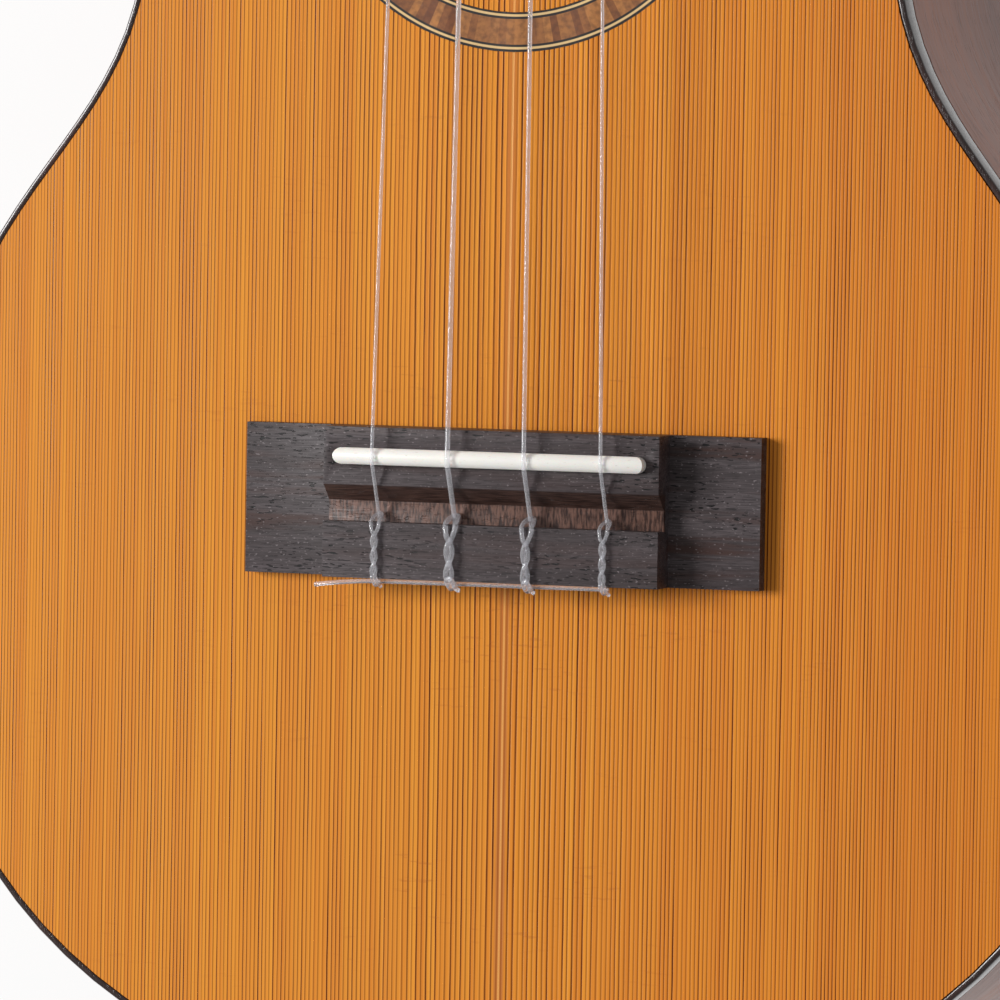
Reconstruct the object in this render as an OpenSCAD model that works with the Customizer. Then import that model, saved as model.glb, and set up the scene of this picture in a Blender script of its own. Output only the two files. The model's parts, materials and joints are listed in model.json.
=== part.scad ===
// Four-string small guitar with a flat soundboard, a tie-block bridge and worm-geared tuners.
// It lies on its back. X runs across, Y from the saddle towards the head, Z up from the back.
// The origin is on the back's outer face, straight below the middle of the saddle.

/* [Scale and frets] */
// Free length of a string, from the saddle to the nut
scale_length = 432; // [400:1:480]
// Number of frets
fret_count = 18; // [16:1:19]
// Fret at which the neck meets the body
body_fret = 14; // [13:1:14]
// Width of the crown of a fret
fret_w = 2.2; // [1.6:0.1:2.8]
// Height of the crown of a fret
fret_h = 1.0; // [0.7:0.1:1.3]
// Width of the tang of a fret
tang_w = 0.5; // [0.4:0.1:0.8]
// Depth of the tang of a fret
tang_d = 1.6; // [1.2:0.1:2.5]

/* [Body] */
// Length of the body, from the tail to the neck
body_length = 310; // [260:1:372]
// Depth of the body over both plates
body_depth = 70; // [56:1:90]
// Greatest width of the lower bout
lower_bout = 226; // [190:1:272]
// Width at the waist
waist = 140; // [116:1:168]
// Greatest width of the upper bout
upper_bout = 164; // [140:1:196]
// Width of the flat that the heel seats on
neck_flat = 48; // [46:1:60]
// Thickness of the soundboard
top_t = 2.0; // [1.5:0.1:3]
// Thickness of the back
back_t = 2.2; // [1.5:0.1:3]
// Thickness of the ribs
rib_t = 1.9; // [1.5:0.1:2.4]
// Width of the binding
binding_w = 1.3; // [0.9:0.1:1.4]
// Height of the binding
binding_h = 5.0; // [3:0.1:7]
// Radius of the sound hole
hole_r = 30; // [25:0.5:36]
// Distance from the hole's edge to the rosette
rosette_gap = 4; // [3:0.5:8]
// Width of the rosette
rosette_w = 7; // [4:0.5:9]
// Depth of the rosette and of the strips along the back and the tail
inlay_d = 0.9; // [0.6:0.1:1.2]
// Width of the strip along the back
strip_w = 4; // [2:0.5:8]
// Width of the strip down the tail
tail_strip_w = 6; // [3:0.5:10]

/* [Inside the body] */
// Width of the linings
lining_w = 5; // [4:0.5:7]
// Height of the linings
lining_h = 11; // [8:0.5:14]
// Length of the neck block along the neck
neck_block_l = 20; // [15:1:28]
// Width of the neck block
neck_block_w = 56; // [46:1:66]
// Thickness of the tail block
tail_block_l = 12; // [8:1:16]
// Width of the tail block
tail_block_w = 52; // [40:1:66]
// Width of a cross brace
brace_w = 7; // [5:0.5:9]
// Height of a cross brace
brace_h = 10; // [8:0.5:14]
// Height of a cross brace at its ends
brace_end_h = 3; // [2:0.5:5]
// Width of a fan brace
fan_w = 5; // [4:0.5:7]
// Height of a fan brace
fan_h = 6; // [4:0.5:8]
// Angle of the outer fan braces
fan_angle = 8; // [4:1:12]
// Thickness of the plate under the bridge
bridge_plate_t = 1.8; // [1.5:0.1:3]

/* [Neck] */
// Width of the nut
nut_w = 36; // [34:0.5:42]
// Length of the nut along the neck
nut_l = 5; // [4:0.5:6]
// Depth of the neck behind the nut
neck_d = 14.5; // [12:0.5:18]
// Extra depth of the neck at the heel
neck_d_rise = 2; // [0:0.5:4]
// Length of the curve from the neck into the heel
heel_l = 50; // [40:1:64]
// Thickness of the cap under the heel
heel_cap_t = 2; // [1.5:0.5:4]
// Thickness of the fingerboard
board_t = 4.5; // [3.5:0.5:6]
// Radius of a position dot
dot_r = 2.5; // [1.5:0.5:3]
// Depth of a position dot
dot_d = 1.2; // [0.8:0.1:2]

/* [Head] */
// Backward angle of the head
head_angle = 12; // [8:1:15]
// Length of the head
head_l = 118; // [112:1:142]
// Greatest width of the head
head_w = 58; // [52:1:70]
// Width of the head at its shoulders
head_shoulder_w = 54; // [46:1:66]
// Distance from the nut to the shoulders
head_shoulder = 28; // [20:1:32]
// Distance from the crown of the head to its corners
head_corner = 14; // [8:1:20]
// Thickness of the head without its veneer
head_t = 11; // [9:0.5:14]
// Thickness of the veneer on the head
veneer_t = 1.5; // [1:0.5:3]

/* [Bridge] */
// Length of the bridge over both wings
bridge_l = 96; // [80:0.5:115]
// Width of the bridge along the strings
bridge_w = 26.6; // [24:0.1:32]
// Distance from the saddle's middle to the bridge's front
bridge_front = 5.1; // [4:0.1:7]
// Length of the raised block
block_l = 62.4; // [60:0.2:75]
// Height of the raised block
block_h = 8.5; // [7:0.1:10]
// Thickness of the wings
wing_t = 2.8; // [2:0.1:4]
// Distance from the saddle's middle to the top of the ramp
ramp_start = 5.1; // [4:0.1:6]
// Length of the ramp
ramp_l = 2.9; // [2:0.1:4]
// Length of the channel's floor
floor_l = 3.6; // [3:0.1:5]
// Depth of the channel
channel_d = 3.0; // [2:0.1:4]
// Length of the saddle
saddle_l = 57.6; // [54:0.2:59]
// Thickness of the saddle
saddle_t = 2.9; // [2:0.1:3.5]
// Height of the saddle over the block
saddle_rise = 2.1; // [1.5:0.1:3]
// Depth of the saddle's slot
slot_d = 5; // [3:0.5:5.5]

/* [Strings] */
// Distance between the outer strings at the saddle
saddle_spread = 42.5; // [38:0.5:46]
// Distance between the outer strings at the nut
nut_spread = 27.7; // [25:0.5:31]
// Diameter of each string, from the player's upper side
string_d = [0.66, 0.92, 0.82, 0.66];
// Radius of a tie hole
tie_hole_r = 0.8; // [0.7:0.05:0.9]
// Height of a tie hole's axis over the channel's floor
tie_hole_rise = 0.95; // [0.9:0.05:1.2]
// Height of the strings' undersides over the first fret's crown, at the nut
nut_action = 0.4; // [0.3:0.1:0.8]

/* [Tuners] */
// Distance from the nut to the nearer pair of posts, along the head
post_v = 42; // [38:1:44]
// Distance between the two posts on one side
post_pitch = 40; // [36:1:44]
// Distance of a post from the middle of the head
post_u = 17; // [15:0.5:19]
// Radius of a post
post_r = 3; // [2.5:0.1:3.2]
// Height of a post over the head
post_h = 14; // [12:0.5:17]
// Teeth of a gear, which is the ratio of the tuner
gear_teeth = 14; // [12:1:18]
// Pitch radius of a gear
gear_r = 5.6; // [5:0.1:6]
// Thickness of a gear
gear_t = 3; // [2:0.1:4]
// Height of a tooth
tooth_h = 0.9; // [0.6:0.1:1]
// Mean radius of the worm's thread
worm_r = 2.0; // [1.9:0.1:2.4]
// Length of the worm's thread
worm_l = 8; // [7:0.5:10]
// Radius of the worm's shaft
shaft_r = 1.45; // [1.2:0.05:1.5]
// Play between the worm and the gear
mesh_play = 0.2; // [0.15:0.05:0.3]
// Thickness of a tuner's base plate
plate_t = 1.0; // [0.8:0.1:1.5]
// Width of a tuner's base plate
plate_w = 13; // [12:0.5:15]
// Thickness of the plate's ears
ear_t = 1.2; // [1:0.1:2]
// Length of a button along the shaft
button_l = 12; // [10:0.5:16]
// Width of a button
button_w = 17; // [13:0.5:19]
// Thickness of a button
button_t = 7; // [6:0.5:9]
// Gap between the edge of the head and a button
button_gap = 3; // [2:0.5:6]

/* [Hidden] */
$fn = 48;

// Small values that keep neighbours apart or in touch
hair = 0.02;    // between parts that are glued or pressed together
gap = 0.2;      // between parts that pass each other
inlay_gap = 0.05; // round the rosette, on each side
over = 1;       // how far a cutter runs past what it cuts
run_fit = 0.05; // between a shaft and its bore

// Places along the instrument
neck_y = fret_y(body_fret);
tail_y = neck_y - body_length;
top_z = body_depth;
inside_top = top_z - top_t;
board_end_y = fret_y(fret_count) - 6.5;
hole_y = board_end_y - hole_r - 4;
rosette_inner = hole_r + rosette_gap;
nut_end_y = scale_length + nut_l;

// The outline's shape: places as shares of the body's length, handles as shares of their span
low_at = 0.292;
waist_at = 0.689;
up_at = 0.863;
outline_steps = 22;

// Heights over the soundboard
floor_h = block_h - channel_d;
tie_h = floor_h + tie_hole_rise;
ramp_end = ramp_start + ramp_l;
tie_front = ramp_end + floor_l;
bridge_back = bridge_w - bridge_front;
crown_h = board_t + fret_h;

function fret_y(n) = scale_length * pow(2, -n / 12);
function reverse(list) = [for (i = [len(list) - 1:-1:0]) list[i]];
function mirrored(list) = [for (p = reverse(list)) [-p[0], p[1]]];
function board_half(y) = (nut_spread + (saddle_spread - nut_spread) * (1 - y / scale_length)) / 2
    + (nut_w - nut_spread) / 2;

// ---- Outline of the body ----

function bezier(p, t) = pow(1 - t, 3) * p[0] + 3 * pow(1 - t, 2) * t * p[1]
    + 3 * (1 - t) * t * t * p[2] + pow(t, 3) * p[3];
function bezier_slope(p, t) = pow(1 - t, 2) * (p[1] - p[0]) + 2 * (1 - t) * t * (p[2] - p[1])
    + t * t * (p[3] - p[2]);

low_y = tail_y + low_at * body_length;
waist_y = tail_y + waist_at * body_length;
up_y = tail_y + up_at * body_length;
low_x = lower_bout / 2;
waist_x = waist / 2;
up_x = upper_bout / 2;
flat_x = neck_flat / 2;
outline_curves = [
    [[0, tail_y], [0.62 * low_x, tail_y], [low_x, low_y - 0.58 * (low_y - tail_y)], [low_x, low_y]],
    [[low_x, low_y], [low_x, low_y + 0.65 * (waist_y - low_y)],
        [waist_x, waist_y - 0.40 * (waist_y - low_y)], [waist_x, waist_y]],
    [[waist_x, waist_y], [waist_x, waist_y + 0.45 * (up_y - waist_y)],
        [up_x, up_y - 0.45 * (up_y - waist_y)], [up_x, up_y]],
    [[up_x, up_y], [up_x, up_y + 0.55 * (neck_y - up_y)],
        [flat_x + 0.5 * (up_x - flat_x), neck_y], [flat_x, neck_y]]];

function offset_point(p, d, inset) = p - inset * [d[1], -d[0]] / norm(d);
// Points of the right-hand half, from the tail to the neck, moved inwards by inset
function half_outline(inset) = concat(
    [for (c = outline_curves, i = [0:outline_steps - 1])
        offset_point(bezier(c, i / outline_steps), bezier_slope(c, i / outline_steps), inset)],
    [[flat_x, neck_y - inset], [0, neck_y - inset]]);
function full_outline(inset) = let (h = half_outline(inset))
    concat(h, mirrored([for (i = [1:len(h) - 2]) h[i]]));
function half_ring(outer, inner) = concat(half_outline(outer), reverse(half_outline(inner)));
// Half the width inside the body at y
function half_width(y, inset) = lookup(y, [for (p = half_outline(inset)) [p[1], p[0]]]);

module slab(z, t) {
    translate([0, 0, z]) linear_extrude(t) children();
}

module half_band(outer, inner, z, h) {
    slab(z, h) polygon(half_ring(outer, inner));
}

module both_sides() {
    children();
    mirror([1, 0, 0]) children();
}

// A bar of the size given, centred in X, that starts at y and z
module bar(w, y, l, z, h) {
    translate([-w / 2, y, z]) cube([w, l, h]);
}

// ---- Plates, ribs and trim ----

// The middle joint of what is made in two halves
module middle_joint() {
    bar(hair, tail_y - over, body_length + 2 * over, -over, body_depth + 2 * over);
}

// Two bookmatched halves with the hole and the rosette's channel
module soundboard() {
    color("peru") difference() {
        slab(inside_top, top_t) polygon(full_outline(binding_w + hair));
        middle_joint();
        translate([0, hole_y, inside_top - over]) cylinder(r = hole_r, h = top_t + 2 * over, $fn = 96);
        translate([0, hole_y, top_z - inlay_d]) difference() {
            cylinder(r = rosette_inner + rosette_w, h = inlay_d + over, $fn = 96);
            translate([0, 0, -over]) cylinder(r = rosette_inner, h = inlay_d + 3 * over, $fn = 96);
        }
    }
}

// Two halves, as the soundboard
module rosette() {
    color("tan") difference() {
        translate([0, hole_y, top_z - inlay_d]) difference() {
            cylinder(r = rosette_inner + rosette_w - inlay_gap, h = inlay_d, $fn = 96);
            translate([0, 0, -over]) cylinder(r = rosette_inner + inlay_gap, h = inlay_d + 2 * over, $fn = 96);
        }
        middle_joint();
    }
}

module back() {
    color("sienna") difference() {
        slab(0, back_t) polygon(full_outline(binding_w + hair));
        middle_joint();
        bar(strip_w, tail_y - over, body_length + 2 * over, -over, inlay_d + over);
    }
}

module back_strip() {
    color("saddlebrown") intersection() {
        slab(0, inlay_d) polygon(full_outline(binding_w + hair));
        bar(strip_w - 2 * hair, tail_y, body_length, 0, inlay_d);
    }
}

// A band of the ribs' outer face about the middle of the tail
module tail_band(w, out, depth) {
    h = body_depth - 2 * (binding_h + hair);
    intersection() {
        both_sides() half_band(-out, depth, binding_h + hair, h);
        bar(w, tail_y - 2 * out, 2 * out + binding_w + rib_t, 0, body_depth);
    }
}

module tail_strip() {
    color("#2b1a16") tail_band(tail_strip_w - 2 * hair, 0, inlay_d - hair);
}

// One bent rib. Its edges are rebated for the bindings, and its end for the strip down the tail
module rib() {
    difference() {
        union() {
            half_band(0, rib_t, binding_h + hair, body_depth - 2 * (binding_h + hair));
            half_band(binding_w + hair, rib_t, back_t, body_depth - back_t - top_t);
        }
        tail_band(tail_strip_w, over, inlay_d);
    }
}

module rib_treble() {
    color("sienna") rib();
}

module rib_bass() {
    color("sienna") mirror([1, 0, 0]) rib();
}

// Two halves that meet at the tail and under the heel
module binding(z) {
    color("#2b1a16") difference() {
        both_sides() half_band(0, binding_w, z, binding_h);
        middle_joint();
    }
}

// ---- Inside the body ----

module block_room(w, y, l) {
    bar(w, y, l, 0, body_depth);
}

module linings() {
    inner = rib_t + lining_w;
    color("burlywood") difference() {
        both_sides() {
            half_band(rib_t + hair, inner, inside_top - lining_h, lining_h);
            half_band(rib_t + hair, inner, back_t, lining_h);
        }
        block_room(neck_block_w + 2 * gap, neck_y - rib_t - neck_block_l - gap, neck_block_l + over + rib_t);
        block_room(tail_block_w + 2 * gap, tail_y - over, rib_t + tail_block_l + gap + over);
    }
}

module end_block(w, y, l) {
    color("burlywood") intersection() {
        slab(back_t, inside_top - back_t) polygon(full_outline(rib_t + hair));
        bar(w, y, l, 0, body_depth);
    }
}

module neck_block() {
    end_block(neck_block_w, neck_y - rib_t - neck_block_l, neck_block_l + over);
}

module tail_block() {
    end_block(tail_block_w, tail_y, rib_t + tail_block_l);
}

// A brace across the body at y, with tapered ends. It stands up from z, or hangs down with down = true
module cross_brace(y, z, down) {
    l = min([for (s = [-1, 1]) half_width(y + s * brace_w / 2, rib_t + lining_w)]) - 0.3;
    taper = l / 3;
    translate([0, y + brace_w / 2, z]) rotate([90, 0, 0]) linear_extrude(brace_w)
        mirror([0, down ? 1 : 0]) polygon([[-l, 0], [l, 0], [l, brace_end_h], [l - taper, brace_h],
            [taper - l, brace_h], [-l, brace_end_h]]);
}

upper_brace_y = (hole_y + hole_r + neck_y - rib_t - neck_block_l) / 2;
lower_brace_y = hole_y - hole_r - 12;

module cross_braces() {
    color("wheat") {
        cross_brace(upper_brace_y, inside_top, true);
        cross_brace(lower_brace_y, inside_top, true);
    }
}

module back_braces() {
    color("wheat") for (share = [0.2, 0.42, 0.66, 0.86])
        cross_brace(tail_y + share * body_length, back_t, false);
}

// It reaches past the bridge by plate_past_x on each side and by plate_past_y before and behind
plate_past_x = 5;
plate_past_y = 4;
plate_x = bridge_l + 2 * plate_past_x;
plate_y = bridge_w + 2 * plate_past_y;

module bridge_plate() {
    color("tan")
        bar(plate_x, -bridge_back - plate_past_y, plate_y, inside_top - bridge_plate_t, bridge_plate_t);
}

// Three struts behind the lower cross brace, notched over the bridge plate
fan_spacing = 20;
fan_front_gap = 3;
fan_tail_gap = 14;

module fan_braces() {
    front = lower_brace_y - brace_w / 2 - fan_front_gap;
    l = front - (tail_y + rib_t + tail_block_l + fan_tail_gap);
    color("wheat") difference() {
        for (side = [-1, 0, 1])
            translate([side * fan_spacing, front, inside_top - fan_h]) rotate([0, 0, side * fan_angle])
                bar(fan_w, -l, l, 0, fan_h);
        bar(plate_x + 2 * gap, -bridge_back - plate_past_y - hair, plate_y + 2 * hair,
            inside_top - bridge_plate_t - hair, bridge_plate_t + over);
    }
}

// ---- Neck ----

heel_h = body_depth - heel_cap_t;
heel_over = 1.35;  // how much deeper than the heel its uncut section is
neck_stations = 34;
section_steps = 20;

function heel_share(y) = let (t = min(1, max(0, (y - neck_y) / heel_l))) (cos(180 * t) + 1) / 2;
function shaft_depth(y) = neck_d + neck_d_rise * (scale_length - y) / (scale_length - neck_y);
function section_depth(y) = let (s = heel_share(y)) shaft_depth(y) * (1 - s) + heel_over * heel_h * s;
// One cross section. The last one leans with the end of the head
function neck_section(y, lean) = [for (k = [0:section_steps])
    let (a = 180 * k / section_steps, z = -min(section_depth(y) * sin(a), heel_h))
    [board_half(y) * cos(a), y + (lean ? z * tan(head_angle) : 0), top_z + z]];
function station_y(i) = i <= 20 ? neck_y + heel_l * 1.05 * i / 20
    : neck_y + heel_l * 1.05 + (scale_length - 8 - neck_y - heel_l * 1.05) * (i - 20) / (neck_stations - 20);

module neck() {
    n = section_steps + 1;
    rings = concat([for (i = [0:neck_stations]) neck_section(station_y(i), false)],
        [neck_section(nut_end_y, true)]);
    last = len(rings) - 1;
    color("#8a4a2a") polyhedron([for (r = rings, p = r) p], concat(
        [[for (k = [0:n - 1]) k]],
        [[for (k = [n - 1:-1:0]) last * n + k]],
        [for (i = [0:last - 1], k = [0:n - 2]) [i * n + k, (i + 1) * n + k, (i + 1) * n + k + 1]],
        [for (i = [0:last - 1], k = [0:n - 2]) [i * n + k, (i + 1) * n + k + 1, i * n + k + 1]],
        [for (i = [0:last - 1]) [i * n + n - 1, (i + 1) * n + n - 1, (i + 1) * n]],
        [for (i = [0:last - 1]) [i * n + n - 1, (i + 1) * n, i * n]]));
}

module heel_cap() {
    ys = [for (i = [0:20]) let (y = station_y(i)) if (section_depth(y) > heel_h) y];
    side = [for (y = ys) [board_half(y) * sqrt(1 - pow(heel_h / section_depth(y), 2)), y]];
    color("#2b1a16") slab(0, heel_cap_t) polygon(concat(side, mirrored(side)));
}

function board_polygon(y0, y1, shrink) = [[-board_half(y0) + shrink, y0], [board_half(y0) - shrink, y0],
    [board_half(y1) - shrink, y1], [-board_half(y1) + shrink, y1]];

dots = [[5, 0], [7, 0], [10, 0], [12, -1], [12, 1], [15, 0]];
function dot_at(d) = [d[1] * nut_spread / 3, (fret_y(d[0]) + fret_y(d[0] - 1)) / 2];

module fingerboard() {
    color("#241a18") difference() {
        slab(top_z, board_t) polygon(board_polygon(board_end_y, scale_length, 0));
        for (i = [1:fret_count])
            bar(nut_w * 2, fret_y(i) - tang_w / 2 - hair, tang_w + 2 * hair, top_z + board_t - tang_d - hair,
                tang_d + over);
        for (d = dots)
            translate([dot_at(d)[0], dot_at(d)[1], top_z + board_t - dot_d])
                cylinder(r = dot_r + hair, h = dot_d + over);
    }
}

module position_dots() {
    color("ivory") for (d = dots)
        translate([dot_at(d)[0], dot_at(d)[1], top_z + board_t - dot_d]) cylinder(r = dot_r, h = dot_d);
}

// The crown is the cap of a cylinder that is as wide and as high as the fret
module fret(n) {
    w = board_half(fret_y(n)) - 0.1;
    r = (pow(fret_w / 2, 2) + pow(fret_h, 2)) / (2 * fret_h);
    surface = top_z + board_t;
    translate([0, fret_y(n), 0]) {
        difference() {
            translate([-w, 0, surface + fret_h - r]) rotate([0, 90, 0]) cylinder(r = r, h = 2 * w);
            bar(4 * w, -2 * r, 4 * r, surface - 2 * r, 2 * r);
        }
        bar(2 * w, -tang_w / 2, tang_w, surface - tang_d, tang_d + fret_h / 2);
    }
}

module frets() {
    color("silver") for (n = [1:fret_count]) fret(n);
}

// ---- Strings' places ----

function string_r(i) = string_d[i] / 2;
function string_x(i, spread) = spread * (i / 3 - 0.5);
saddle_top = top_z + block_h + saddle_rise;
nut_top = top_z + crown_h + nut_action;

module nut() {
    color("ivory") difference() {
        bar(nut_w, scale_length, nut_l, top_z, crown_h + nut_action + string_r(0));
        for (i = [0:3])
            translate([string_x(i, nut_spread), scale_length - over, nut_top + string_r(i)])
                rotate([-90, 0, 0]) cylinder(r = string_r(i) + hair, h = nut_l + 2 * over, $fn = 24);
    }
}

// ---- Bridge ----

module stadium(l, w) {
    square([l - w, w], center = true);
    for (s = [-1, 1]) translate([s * (l - w) / 2, 0]) circle(d = w);
}

module bridge() {
    profile = [[bridge_front, 0], [bridge_front, block_h], [-ramp_start, block_h], [-ramp_end, floor_h],
        [-tie_front, floor_h], [-tie_front, block_h], [-bridge_back, block_h], [-bridge_back, 0]];
    color("#2a2224") translate([0, 0, top_z]) difference() {
        union() {
            rotate([90, 0, 90]) translate([0, 0, -block_l / 2]) linear_extrude(block_l) polygon(profile);
            bar(bridge_l, -bridge_back, bridge_w, 0, wing_t);
        }
        slab(block_h - slot_d, slot_d + over) stadium(saddle_l + 2 * hair, saddle_t + 2 * hair);
        for (i = [0:3])
            translate([string_x(i, saddle_spread), -bridge_back - over, tie_h]) rotate([-90, 0, 0])
                cylinder(r = tie_hole_r, h = bridge_back - tie_front + 2 * over, $fn = 24);
    }
}

// The top is rounded over its whole thickness
module saddle() {
    h = slot_d + saddle_rise;
    color("ivory") translate([0, 0, top_z + block_h - slot_d]) intersection() {
        linear_extrude(h) stadium(saddle_l, saddle_t);
        translate([-saddle_l / 2, 0, h - saddle_t * 0.6]) rotate([0, 90, 0]) union() {
            cylinder(r = saddle_t * 0.6, h = saddle_l);
            translate([0, -saddle_t, 0]) cube([h, 2 * saddle_t, saddle_l]);
        }
    }
}

// ---- Frame of the head: u across, v along the head, w out of its face ----

function head_point(u, v, w) = [u, nut_end_y + v * cos(head_angle) + w * sin(head_angle),
    top_z - v * sin(head_angle) + w * cos(head_angle)];

module on_head() {
    translate([0, nut_end_y, top_z]) rotate([-head_angle, 0, 0]) children();
}

// The head's right-hand half: from the nut to the shoulder, on to the corner, and in to the crown
shoulder_x = head_shoulder_w / 2;
corner_y = head_l - head_corner;
head_curves = [
    [[nut_w / 2, 0], [nut_w / 2, head_shoulder * 0.5], [shoulder_x, head_shoulder * 0.36],
        [shoulder_x, head_shoulder]],
    [[shoulder_x, head_shoulder], [shoulder_x, head_shoulder + 0.3 * (corner_y - head_shoulder)],
        [head_w / 2, corner_y - 0.43 * (corner_y - head_shoulder)], [head_w / 2, corner_y]],
    [[head_w / 2, corner_y], [head_w / 2, corner_y + 0.64 * head_corner],
        [head_w / 4, corner_y + 0.43 * head_corner], [0, head_l]]];
head_steps = 12;
function head_half() = concat([for (c = head_curves, i = [0:head_steps - 1]) bezier(c, i / head_steps)],
    [[0, head_l]]);

module head_outline() {
    h = head_half();
    polygon(concat(h, mirrored([for (i = [0:len(h) - 2]) h[i]])));
}

// Tuners 1 and 2 are on the bass side, 3 and 4 on the treble side. Strings 1 and 4 go to the nearer posts
function tuner_side(i) = i < 2 ? -1 : 1;
function tuner_v(i) = (i == 0 || i == 3) ? post_v : post_v + post_pitch;

module at_tuner(i) {
    on_head() mirror([tuner_side(i) < 0 ? 1 : 0, 0, 0]) translate([post_u, tuner_v(i), 0]) children();
}

bush_r = post_r + 1.05;
bush_depth = 6;
bush_flange_r = bush_r + 1.2;
bush_flange_h = 1.2;
screw_r = 1.0;
screw_l = 6;
screw_head_r = 2.1;
screw_head_h = 1.1;
driver_w = 0.6;
gear_screw_head_r = 2.9;
gear_screw_head_h = 1.4;
pitch = 2 * PI * gear_r / gear_teeth;
worm_v = gear_r + worm_r + mesh_play;
worm_tip_r = worm_r + tooth_h / 2 + 0.05;
back_w = -head_t - veneer_t;
worm_w = back_w - plate_t - 0.3 - worm_tip_r;
gear_top_w = worm_w + gear_t / 2;
gear_bottom_w = worm_w - gear_t / 2;
ear_u = worm_l / 2 + 0.4;
ear_w = worm_w - worm_tip_r - 0.8;
ear_half = worm_tip_r + 0.5;
plate_low_v = -gear_r - 6.4;
plate_high_v = worm_v + 8.4;
screw_vs = [-gear_r - 3.8, worm_v + 5.6];
square_w = post_r * 1.15;

module headstock() {
    color("#8a4a2a") difference() {
        on_head() slab(back_w, head_t) head_outline();
        for (i = [0:3]) at_tuner(i) {
            translate([0, 0, back_w - over]) cylinder(r = post_r + gap, h = head_t + 2 * over);
            translate([0, 0, -bush_depth]) cylinder(r = bush_r, h = bush_depth + over);
            for (v = screw_vs) translate([0, v, back_w - over]) cylinder(r = screw_r, h = screw_l + over);
        }
    }
}

module head_veneer() {
    color("#241a18") difference() {
        on_head() slab(-veneer_t, veneer_t) head_outline();
        for (i = [0:3]) at_tuner(i)
            translate([0, 0, -bush_depth]) cylinder(r = bush_r, h = bush_depth + over);
    }
}

module tuner_bushings() {
    color("silver") for (i = [0:3]) at_tuner(i) difference() {
        union() {
            translate([0, 0, -bush_depth]) cylinder(r = bush_r - hair, h = bush_depth + hair);
            cylinder(r = bush_flange_r, h = bush_flange_h);
        }
        translate([0, 0, -bush_depth - over])
            cylinder(r = post_r + run_fit, h = bush_depth + bush_flange_h + 2 * over);
    }
}

module tuner_plate(i) {
    color("silver") at_tuner(i) difference() {
        union() {
            bar(plate_w, plate_low_v, plate_high_v - plate_low_v, back_w - plate_t, plate_t);
            for (u = [ear_u, -ear_u - ear_t])
                translate([u, worm_v - ear_half, ear_w]) cube([ear_t, 2 * ear_half, back_w - ear_w]);
        }
        translate([0, 0, back_w - plate_t - over]) cylinder(r = post_r + gap, h = plate_t + 2 * over);
        for (v = screw_vs) translate([0, v, back_w - plate_t - over])
            cylinder(r = screw_r + run_fit, h = plate_t + 2 * over);
        translate([-ear_u - 2 * ear_t, worm_v, worm_w]) rotate([0, 90, 0])
            cylinder(r = shaft_r + run_fit, h = 2 * (ear_u + 2 * ear_t));
    }
}

// The slot across a screw's head, cut into its lower face
module driver_slot(head_r, head_h) {
    bar(2 * head_r, -driver_w / 2, driver_w, -head_h - over, over + head_h / 2);
}

module plate_screws() {
    color("silver") for (i = [0:3], v = screw_vs)
        at_tuner(i) translate([0, v, back_w - plate_t]) difference() {
            union() {
                cylinder(r = screw_r - hair, h = screw_l + plate_t - gap);
                translate([0, 0, -screw_head_h])
                    cylinder(r1 = screw_head_r - 0.5, r2 = screw_head_r, h = screw_head_h);
            }
            driver_slot(screw_head_r, screw_head_h);
        }
}

// The thread is a round bar, off the axis by half a tooth, that winds once for each pitch
module worm_thread() {
    turns = worm_l / pitch;
    rotate([0, 90, 0]) translate([0, 0, -worm_l / 2])
        linear_extrude(worm_l, twist = -360 * turns, slices = 46, convexity = 4)
            rotate(90 - 180 * turns) translate([tooth_h / 2, 0]) circle(r = worm_r, $fn = 18);
}

button_u = head_w / 2 - post_u + button_gap;
shaft_in_button = 0.7 * button_l;
shaft_end_l = 0.8;
button_end_r = 1.5;
neck_of_button = 4;

module worm_shaft(i) {
    start = -ear_u - ear_t - 1;
    color("silver") at_tuner(i) translate([0, worm_v, worm_w]) {
        worm_thread();
        translate([start, 0, 0]) rotate([0, 90, 0])
            cylinder(r = shaft_r, h = button_u + shaft_in_button - start);
        translate([start - shaft_end_l, 0, 0]) rotate([0, 90, 0])
            cylinder(r = shaft_r + 0.6, h = shaft_end_l);
    }
}

module button(i) {
    color("ivory") at_tuner(i) translate([button_u, worm_v, worm_w]) difference() {
        union() {
            translate([button_l / 2 + button_end_r, 0, -button_t / 2]) linear_extrude(button_t)
                rotate(90) stadium(button_w, button_l - 2 * button_end_r);
            rotate([0, 90, 0]) cylinder(r = button_t / 2 - 0.4, h = neck_of_button);
        }
        translate([-over, 0, 0]) rotate([0, 90, 0])
            cylinder(r = shaft_r + hair, h = shaft_in_button + gap + over);
    }
}

wind_w = 6;       // height of the lowest turn over the head
wind_turns = 3;
groove_depth = 0.3;
function wind_h(i) = wind_turns * string_d[i];
function wind_r(i) = post_r - groove_depth + string_d[i];

module post(i) {
    color("silver") at_tuner(i) difference() {
        union() {
            translate([0, 0, gear_top_w]) cylinder(r = post_r, h = wind_w - gear_top_w);
            translate([0, 0, wind_w]) cylinder(r = post_r - groove_depth, h = post_h - wind_w - 3);
            translate([0, 0, post_h - 3]) cylinder(r = post_r, h = 3);
            translate([-square_w / 2, -square_w / 2, gear_bottom_w + 0.3]) cube([square_w, square_w, gear_t]);
        }
        translate([0, -post_r - over, wind_w + wind_h(i) + 1]) rotate([-90, 0, 0])
            cylinder(r = string_r(i) + 0.2, h = 2 * (post_r + over), $fn = 24);
        translate([0, 0, gear_bottom_w - over]) cylinder(r = screw_r, h = gear_t + 3 + over);
    }
}

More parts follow.
